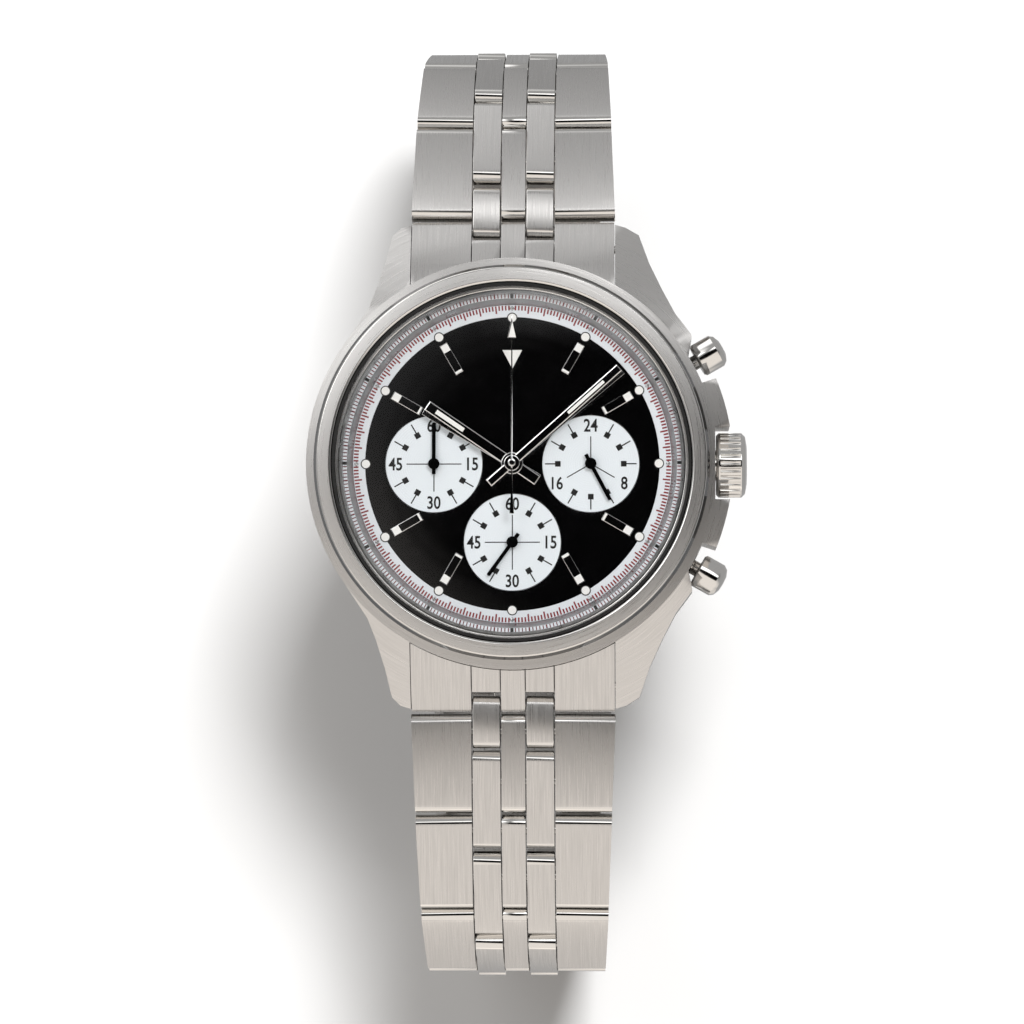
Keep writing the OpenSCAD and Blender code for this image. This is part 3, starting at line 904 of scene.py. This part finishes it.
@dataclass
class Dial:
    """Dial, minute ring, sloped ring, markers and all print, in millimetres."""

    finishes: Finishes
    maker: Maker
    dial_top: float
    edge: float = 0.05
    # scales: a step is a fifth of a second
    divisions: int = 300
    per_second: int = 5
    per_hour: int = 25
    # minute ring: its scale, the dots at the hours and their levels over the dial
    second_tick: Strip = (14.55, 15.28, 0.15)
    fifth_tick: Strip = (14.82, 15.28, 0.15)
    scale_rise: float = 0.27
    dot_ring: float = 14.1
    dot_rim: float = 0.5
    dot_r: float = 0.4
    rim_rise: float = 0.28
    dot_rise: float = 0.3
    # sloped ring: its flat, and the white ground, red ticks and black hour marks on it, which are a painted
    # reflection of the minute scale
    flat_level: float = 8.43
    flat_profile: tuple[Point, ...] = ((15.86, -0.06), (16.24, -0.01))
    painted_reflection_second_tick: Strip = (15.87, 16.23, 0.13)
    painted_reflection_fifth_tick: Strip = (15.87, 16.23, 0.09)
    painted_reflection_hour_mark: Strip = (15.86, 16.25, 0.3)
    # applied batons: bright border, a black strip that is a painted dark reflection on the polished top,
    # and white ends that are painted highlights on the end facets
    batons: tuple[int, ...] = (1, 2, 4, 5, 7, 8, 10, 11)
    baton: Strip = (10.1, 13.3, 0.8)
    baton_border: float = 0.06
    strip_start: float = 0.3
    strip_end: float = 0.85
    strip_lap: float = 0.2
    # the white ends are painted highlights: their margin, their gap to the strip, and their height over the
    # baton
    highlight_margin: float = 0.08
    highlight_gap: float = 0.02
    lume_rise: float = 0.05
    # the plain triangle at twelve
    triangle: tuple[Point, ...] = ((-0.95, 11.0), (0.0, 9.2), (0.95, 11.0))
    # counters: size, depth and rim, then marks and figures from their own centre
    sub_r: float = 4.7
    sub_offset: float = 7.55
    recess: float = 0.1
    lacquer: float = 0.02
    disc_gap: float = 0.02
    # the rim's foot on the floor, the two edges of its top, and where it meets the dial, from sub_r
    rim_offsets: tuple[float, ...] = (-0.06, -0.04, 0.02, 0.03)
    steps_round: int = 96
    mark_rise: float = 0.035
    cross_arm: Strip = (0.0, 2.65, 0.1)
    mark_head: Strip = (2.9, 3.44, 0.54)
    mark_stem: Strip = (3.4, 4.4, 0.12)
    figure_ring: float = 3.72
    figure_h: float = 1.25
    figure_squeeze: float = 0.8

    def build(self) -> None:
        """Builds the whole dial side."""
        self._dress_solids()
        self._minute_ring()
        self._sloped_ring()
        self._hour_dots()
        self._baton_painted_light()
        self._twelve_mark()
        for counter in (
            SubDial("minute_counter", (-self.sub_offset, 0.0), SIXTY),
            SubDial("day_counter", (self.sub_offset, 0.0), TWENTY_FOUR),
            SubDial("seconds_counter", (0.0, -self.sub_offset), SIXTY),
        ):
            self._sub_dial(counter)

    def _dress_solids(self) -> None:
        """Finishes the solids that carry the print."""
        dress("dial", self.finishes.black)
        dress("chapter_ring", self.finishes.white)
        soften("chapter_ring", self.edge)
        dress("flange_ring", self.finishes.flange)
        dress("hour_markers", self.finishes.rhodium)
        soften("hour_markers", self.edge, segments=2)

    def _ticks(self, second: Strip, fifth: Strip) -> list[Polygon]:
        """Draws a scale of seconds and fifths that leaves the hours free.

        Args:
            second: A tick at a whole second.
            fifth: A tick between two seconds.

        Returns:
            The outline of each tick.
        """
        return [
            spoke(FULL_TURN * i / self.divisions, *(fifth if i % self.per_second else second))
            for i in range(self.divisions)
            if i % self.per_hour
        ]

    def _minute_ring(self) -> None:
        """Prints the fine red scale on the white ring."""
        ticks = self._ticks(self.second_tick, self.fifth_tick)
        level = self.dial_top + self.scale_rise
        self.maker.printed("minute_scale", ticks, level, self.finishes.red_ink, slot="white_ring")

    def _sloped_ring(self) -> None:
        """Paints a reflection of the minute scale on the flat of the sloped ring: white ground, red ticks
        and black hour marks.
        """
        f, level = self.finishes, self.flat_level
        flat = [(radius, level + rise) for radius, rise in self.flat_profile]
        # white ground, red ticks and black hour marks: a painted reflection of the minute scale
        self.maker.lathe("painted_reflection_scale_ground", flat, f.white, "white_ring")
        ticks = self._ticks(self.painted_reflection_second_tick, self.painted_reflection_fifth_tick)
        self.maker.printed("painted_reflection_scale", ticks, level + PRINT_RISE, f.red_ink, slot="dark_flange")
        hours = [spoke(HOUR_TURN * h, *self.painted_reflection_hour_mark) for h in range(12)]
        # the hour marks lie over the scale
        self.maker.printed("painted_reflection_hour_marks", hours, level + 2 * PRINT_RISE, f.ink, slot="dark_flange")

    def _hour_dots(self) -> None:
        """Prints a white dot with a black edge at each hour."""
        for name, radius, rise, finish, slot in (
            ("hour_dot_rims", self.dot_rim, self.rim_rise, self.finishes.ink, "dial_black"),
            ("hour_dots", self.dot_r, self.dot_rise, self.finishes.lume, "white_ring"),
        ):
            discs = [round_shape(clock_point(HOUR_TURN * h, self.dot_ring), radius) for h in range(12)]
            self.maker.printed(name, discs, self.dial_top + rise, finish, slot=slot)

    def _baton_painted_light(self) -> None:
        """Lays a bright border on each applied baton, a black strip of painted dark reflection on its
        polished top, and white ends of painted highlight.
        """
        f, top = self.finishes, self.maker.level_of("hour_markers")
        bars = [Bar(HOUR_TURN * h, *self.baton) for h in self.batons]
        self.maker.framed("baton_borders", bars, top + BORDER_RISE, f.rhodium, border=self.baton_border)
        # black holds the painted dark reflections, light the painted highlights
        black: list[Polygon] = []
        light: list[Polygon] = []
        for bar in bars:
            near, far = bar.inner + self.strip_start, bar.outer - self.strip_end
            # the strips lap a little over the border, so that no gap shows between them
            width = bar.width - 2 * self.baton_border * (1 - self.strip_lap)
            black.append(spoke(bar.angle, near, far, width))
            light.append(spoke(bar.angle, bar.inner + self.highlight_margin, near - self.highlight_gap, width))
            light.append(spoke(bar.angle, far + self.highlight_gap, bar.outer - self.highlight_margin, width))
        # painted dark reflection on each baton's top, and painted highlights at its ends in the luminous
        # paint's finish
        self.maker.printed("baton_painted_reflection", black, top + FACE_RISE, f.black, slot="dial_black")
        self.maker.printed("baton_painted_highlights", light, top + self.lume_rise, f.lume, slot="white_ring")

    def _twelve_mark(self) -> None:
        """Prints a plain triangle at twelve."""
        level = self.dial_top + self.lacquer
        self.maker.printed("twelve_mark", [self.triangle], level, self.finishes.lume, slot="white_ring")

    def _sub_dial(self, counter: SubDial) -> None:
        """Builds one counter: its floor, bright rim, marks and figures.

        Args:
            counter: The counter.
        """
        name, centre, f = counter.name, counter.centre, self.finishes
        floor = self.dial_top - self.recess
        white = floor + self.lacquer
        ground = TurnedLacquer(f"lacquer_white_turned_{name}", centre).build()
        foot, inner, outer, end = (self.sub_r + offset for offset in self.rim_offsets)
        crest = self.dial_top + PRINT_RISE
        disc = [(0.0, white), (foot, white), (self.sub_r - self.disc_gap, white)]
        rim = [(foot, white), (inner, crest), (outer, crest), (end, self.dial_top)]
        sides = self.steps_round
        self.maker.lathe(name, disc, ground, "white_ring", centre, sides=sides)
        self.maker.lathe(f"{name}_rim", rim, f.rhodium, "bright_metal", centre, sides=sides)
        shapes = [spoke(angle, *self.cross_arm, centre) for angle in counter.figures]
        for hour in range(12):
            angle = HOUR_TURN * hour
            if angle not in counter.figures:
                shapes.append(spoke(angle, *self.mark_head, centre))
                shapes.append(spoke(angle, *self.mark_stem, centre))
        self.maker.printed(f"{name}_marks", shapes, floor + self.mark_rise, f.ink)
        self._figures(counter, self.maker.head_z + (floor + self.mark_rise) * MM)

    def _figures(self, counter: SubDial, height: float) -> None:
        """Prints a counter's numbers.

        Args:
            counter: The counter.
            height: Where the print lies, in metres.
        """
        verts: list[Place] = []
        faces: list[list[int]] = []
        for angle, figure in counter.figures.items():
            points, sides = figure_shapes(figure, self.figure_h, self.figure_squeeze)
            x0, y0 = clock_point(angle, self.figure_ring, counter.centre)
            start = len(verts)
            verts += [((x0 + x) * MM, (y0 + y) * MM, height) for x, y in points]
            faces += [[start + i for i in side] for side in sides]
        self.maker.piece(f"{counter.name}_figures", verts, faces, self.finishes.ink, "head", "dial_black")


@dataclass(frozen=True)
class MainHand:
    """One of the two main hands, in millimetres: its blade, its luminous bar and its boss."""

    node: str
    width: float
    length: float
    lume: Strip
    boss_r: float


@dataclass
class Hands:
    """Main hands, chronograph hand and the three counter hands, in millimetres."""

    finishes: Finishes
    maker: Maker
    blade_t: float = 0.15
    boss_t: float = 0.3
    edge: float = 0.04
    # main hands: how far they reach behind the axis, their bright outline, how far the black face
    # laps over it, and the height of the luminous bar over the blade
    tail: float = 2.95
    outline: float = 0.1
    face_lap: float = 0.01
    lume_rise: float = 0.055
    # lacquer on a boss: its hole, the bright rim round it, its sloped edge and its height
    boss_hole: float = 0.4
    boss_rim: float = 0.08
    cap_slope: float = 0.02
    cap_rise: float = 0.012
    main: tuple[MainHand, ...] = (
        MainHand("hour_hand", 1.0, 9.9, (5.65, 8.85, 0.42), 1.06),
        MainHand("minute_hand", 0.77, 13.8, (7.2, 11.8, 0.3), 0.77),
    )
    # chronograph hand, drawn as it points to twelve
    chrono_tail: tuple[Point, ...] = (
        (-0.2, -4.85),
        (0.2, -4.85),
        (0.06, -2.4),
        (0.05, -0.5),
        (-0.05, -0.5),
        (-0.06, -2.4),
    )
    chrono_arrow: tuple[Point, ...] = ((-0.35, 12.06), (0.35, 12.06), (0.0, 13.6))
    chrono_cap: float = 0.22

    def build(self) -> None:
        """Finishes the solids and lays paint and lume on them."""
        f = self.finishes
        for node in ("hour_hand", "minute_hand", "chrono_seconds_hand"):
            dress(node, f.rhodium)
            soften(node, self.edge, segments=2)
        for node in ("small_seconds_hand", "chrono_minute_hand", "day_hand"):
            dress(node, f.black, smooth=False)
        for hand in self.main:
            self._main_hand(hand)
            self._boss(hand)
        self._chrono_hand()

    def _angle(self, node: str) -> float:
        """Reads which way a hand points from its solid.

        Args:
            node: The hand's name.

        Returns:
            Degrees clockwise from twelve o'clock.
        """
        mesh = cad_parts[node].data
        tip = max(mesh.vertices, key=lambda v: v.co.x**2 + v.co.y**2).co
        return math.degrees(math.atan2(tip.x, tip.y)) % FULL_TURN

    def _blade_top(self, node: str) -> float:
        """Gives the level of a hand's flat face, which is lower than its boss."""
        return self.maker.level_of(node) - self.boss_t + self.blade_t

    def _main_hand(self, hand: MainHand) -> None:
        """Lays a black face and a luminous bar on a hand, leaving a bright outline.

        Args:
            hand: The hand.
        """
        f, node = self.finishes, hand.node
        top, angle = self._blade_top(node), self._angle(node)
        blade = Bar(angle, -self.tail, hand.length, hand.width)
        self.maker.framed(f"{node}_border", [blade], top + BORDER_RISE, f.rhodium, node, self.outline)
        face = [blade.outline(self.outline - self.face_lap)]
        self.maker.printed(f"{node}_face", face, top + FACE_RISE, f.black, node, "black_hands")
        lume = [spoke(angle, *hand.lume)]
        self.maker.printed(f"{node}_lume", lume, top + self.lume_rise, f.lume, node, "white_ring")

    def _boss(self, hand: MainHand) -> None:
        """Lacquers the top of a hand's boss, leaving its rim bright.

        Args:
            hand: The hand.
        """
        top = self.maker.level_of(hand.node)
        crest = top + self.cap_rise
        edge = hand.boss_r - self.boss_rim
        cap = [(self.boss_hole, crest), (edge - self.cap_slope, crest), (edge, top)]
        black = self.finishes.black
        self.maker.lathe(f"{hand.node}_boss", cap, black, "black_hands", body=hand.node, sides=64)

    def _chrono_hand(self) -> None:
        """Paints the tail, the arrow and the cap of the chronograph hand."""
        f, node = self.finishes, "chrono_seconds_hand"
        paint, angle = self._blade_top(node) + PRINT_RISE, self._angle(node)
        tail, arrow = turned(self.chrono_tail, angle), turned(self.chrono_arrow, angle)
        self.maker.printed(f"{node}_tail", [tail], paint, f.black, node, "black_hands")
        self.maker.printed(f"{node}_arrow", [arrow], paint, f.lume, node, "white_ring")
        top = self.maker.level_of(node) + PRINT_RISE
        cap = [(0.0, top), (self.chrono_cap, top)]
        self.maker.lathe(f"{node}_cap", cap, f.black, "black_hands", body=node, sides=48)


@dataclass
class Bracelet:
    """End links and every row of the two halves."""

    finishes: Finishes
    edge: float = 0.16
    # a face that looks sideways by less than this belongs to a bar's top, ends or underside
    side_limit: float = 0.3
    # and it is part of a rounded end if it looks away from the flat top by more than this allows
    flat_limit: float = 0.96

    def build(self) -> None:
        """Dresses each row: brushed faces, buffed edges."""
        for node in [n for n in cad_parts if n.startswith("link_")]:
            dress(node, self.finishes.bracelet)
            self._polish_ends(node)
            soften(node, self.edge, self.finishes.polish)
        dress("end_links", self.finishes.bracelet)
        soften("end_links", self.edge, self.finishes.polish)

    def _polish_ends(self, node: str) -> None:
        """Gives the rounded ends of a row's bars a buffed finish.

        Args:
            node: The row's name.
        """
        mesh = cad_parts[node].data
        mesh.materials.append(self.finishes.polish)
        round_faces = [face for face in mesh.polygons if abs(face.normal.x) < self.side_limit]
        top = max(round_faces, key=lambda face: face.area).normal
        for face in round_faces:
            if abs(face.normal.dot(top)) < self.flat_limit:
                face.material_index = len(mesh.materials) - 1


@dataclass
class Clasp:
    """Cover, blades and release buttons."""

    finishes: Finishes
    cover_edge: float = 0.15
    blade_edge: float = 0.1
    button_edge: float = 0.12

    def build(self) -> None:
        """Dresses the clasp's solids."""
        f = self.finishes
        dress("clasp_cover", f.bracelet)
        soften("clasp_cover", self.cover_edge, f.polish)
        for node in ("clasp_middle_blade", "clasp_inner_blade"):
            dress(node, f.bracelet)
            soften(node, self.blade_edge, f.polish)
        for node in ("clasp_button_left", "clasp_button_right"):
            dress(node, f.polish)
            soften(node, self.button_edge)


@dataclass(frozen=True)
class Card:
    """A soft bright or dark area of the room, far from the watch."""

    towards: Place
    core_deg: float
    edge_deg: float
    colour: str
    brightness: float


@dataclass(frozen=True)
class Lamp:
    """A square soft light: where it hangs and its side in metres, and its power in watts."""

    name: str
    place: Place
    size: float
    power: float


@dataclass
class Studio:
    """Pale floor, soft lights and the camera."""

    head_z: float
    whites: list[bpy.types.Object]
    # the camera: its distance, height over the floor and lean to the right in degrees, and what
    # it looks at, in millimetres from the hand axis and over the case back
    distance: float = 450 * MM
    elevation: float = 86.5
    side_lean: float = 1.6
    aim: Place = (-0.03, -4.64, 7.0)
    view_width: float = 98.5 * MM
    sensor: float = 36.0
    clip: tuple[float, float] = (0.01, 10.0)
    # half a side of the floor, in metres
    floor_half: float = 3.0
    floor_lamp: Lamp = Lamp("floor_lamp", (0.18, 0.4, 0.88), 0.28, 17.0)
    soft_key: Lamp = Lamp("soft_key", (-0.35, 0.3, 0.75), 0.35, 0.5)
    dial_lamp: Lamp = Lamp("dial_lamp", (0.25, 0.3, 0.8), 0.3, 2.9)
    # even brightness of the room, dark flags at the right and overhead, and bright cards
    room: float = 0.44
    flags: tuple[Card, ...] = (
        Card((1.0, 0.12, 0.9), 18.0, 36.0, "ffffff", 0.09),
        Card((0.05, 0.05, 1.0), 10.0, 18.0, "000000", 0.0),
    )
    cards: tuple[Card, ...] = (
        Card((0.0, -1.0, 0.85), 42.0, 60.0, "fff4e8", 0.64),
        Card((0.0, -1.0, -0.5), 20.0, 36.0, "fff4e8", 0.45),
        Card((-0.76, 0.56, 1.0), 10.0, 24.0, "ffffff", 1.3),
        Card((-0.48, 0.9, 0.16), 14.0, 32.0, "ffffff", 1.15),
        Card((0.16, 0.4, 1.0), 6.0, 15.0, "ffffff", 2.3),
    )

    def build(self) -> None:
        """Builds floor, lights, room and camera."""
        self._floor()
        self._room()
        self._hang(self.soft_key)
        self._hang(self.dial_lamp, [*self.whites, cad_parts["chapter_ring"]])
        self._camera()
        bpy.context.scene.view_settings.view_transform = "Standard"

    def _floor(self) -> None:
        """Lays the pale floor and hangs the lamp that throws the watch's shadow on it."""
        half = self.floor_half
        corners = [(-half, -half, 0), (half, -half, 0), (half, half, 0), (-half, half, 0)]
        mesh = bpy.data.meshes.new("floor")
        mesh.from_pydata(corners, [], [[0, 1, 2, 3]])
        # uncoated paper: no gloss, with a barely seen mottle
        mesh.materials.append(PlainFinish("paper_pale", "bababa", 0.9, cloud_mm=300).build())
        floor = bpy.data.objects.new("floor", mesh)
        bpy.context.scene.collection.objects.link(floor)
        # it is lit far brighter than the watch, so its mirror image would wash the steel out
        floor.visible_glossy = False
        self._hang(self.floor_lamp, [floor])

    def _room(self) -> None:
        """Fills the room with even light, then puts up the cards and the flags."""
        world = bpy.data.worlds.new("room")
        world.use_nodes = True
        tree = world.node_tree
        way = add_node(tree, "ShaderNodeTexCoord").outputs["Generated"]
        grey = {"Red": self.room, "Green": self.room, "Blue": self.room}
        light = add_node(tree, "ShaderNodeCombineColor", **grey).outputs[0]
        for mode, cards in (("ADD", self.cards), ("MIX", self.flags)):
            for card in cards:
                share = self._inside(tree, way, card)
                settings = {"data_type": "RGBA", "blend_type": mode}
                blend = add_node(tree, "ShaderNodeMix", settings, {0: share, 6: light})
                blend.inputs[7].default_value = dimmed(srgb(card.colour), card.brightness)
                light = blend.outputs[2]
        tree.links.new(light, tree.nodes["Background"].inputs["Color"])
        bpy.context.scene.world = world

    def _inside(
        self, tree: bpy.types.NodeTree, way: bpy.types.NodeSocket, card: Card
    ) -> bpy.types.NodeSocket:
        """Tells how far a direction lies inside a card.

        Args:
            tree: The room's node tree.
            way: The direction looked at.
            card: The card.

        Returns:
            One in the card's core, falling smoothly to nought at its edge.
        """
        near = add_node(tree, "ShaderNodeVectorMath", {"operation": "DOT_PRODUCT"}, {0: way})
        near.inputs[1].default_value = Vector(card.towards).normalized()
        return add_node(
            tree,
            "ShaderNodeMapRange",
            {"interpolation_type": "SMOOTHSTEP"},
            {0: near.outputs["Value"]},
            From_Min=math.cos(math.radians(card.edge_deg)),
            From_Max=math.cos(math.radians(card.core_deg)),
        ).outputs[0]

    def _hang(self, lamp: Lamp, lit: Sequence[bpy.types.Object] = ()) -> None:
        """Hangs a lamp that faces the watch.

        Args:
            lamp: The lamp.
            lit: The only pieces that it lights, if not all; every piece shades them.
        """
        data = bpy.data.lights.new(lamp.name, "AREA")
        data.size = lamp.size
        data.energy = lamp.power
        hung = bpy.data.objects.new(lamp.name, data)
        hung.location = lamp.place
        towards = Vector((0, 0, self.head_z)) - Vector(lamp.place)
        hung.rotation_euler = towards.to_track_quat("-Z", "Y").to_euler()
        bpy.context.scene.collection.objects.link(hung)
        if lit:
            group = bpy.data.collections.new(f"lit_by_{lamp.name}")
            for piece in lit:
                group.objects.link(piece)
            hung.light_linking.receiver_collection = group

    def _camera(self) -> None:
        """Places the camera nearly straight over the dial."""
        data = bpy.data.cameras.new("camera")
        data.sensor_width = self.sensor
        data.lens = self.sensor * self.distance / self.view_width
        data.clip_start, data.clip_end = self.clip
        camera = bpy.data.objects.new("camera", data)
        target = Vector((self.aim[0] * MM, self.aim[1] * MM, self.head_z + self.aim[2] * MM))
        tilt, lean = math.radians(90 - self.elevation), math.radians(self.side_lean)
        back = Vector((math.sin(lean), -math.sin(tilt), math.cos(tilt))).normalized()
        camera.location = target + back * self.distance
        right = Vector((0, 1, 0)).cross(back).normalized()
        camera.rotation_euler = Matrix((right, back.cross(right), back)).transposed().to_euler()
        bpy.context.scene.collection.objects.link(camera)
        bpy.context.scene.camera = camera


def main() -> None:
    """Builds the sub-assemblies in order."""
    logging.basicConfig(level=logging.INFO, format="%(name)s: %(message)s")
    head_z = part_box("case_back")[0][2]
    finishes = Finishes()
    maker = Maker(head_z)
    CaseHead(finishes, maker).build()
    Movement(finishes).build()
    Dial(finishes, maker, maker.level_of("dial")).build()
    Hands(finishes, maker).build()
    Bracelet(finishes).build()
    Clasp(finishes).build()
    Studio(head_z, maker.whites).build()
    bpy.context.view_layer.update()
    log.info("all sub-assemblies built")


if __name__ == "__main__":
    main()
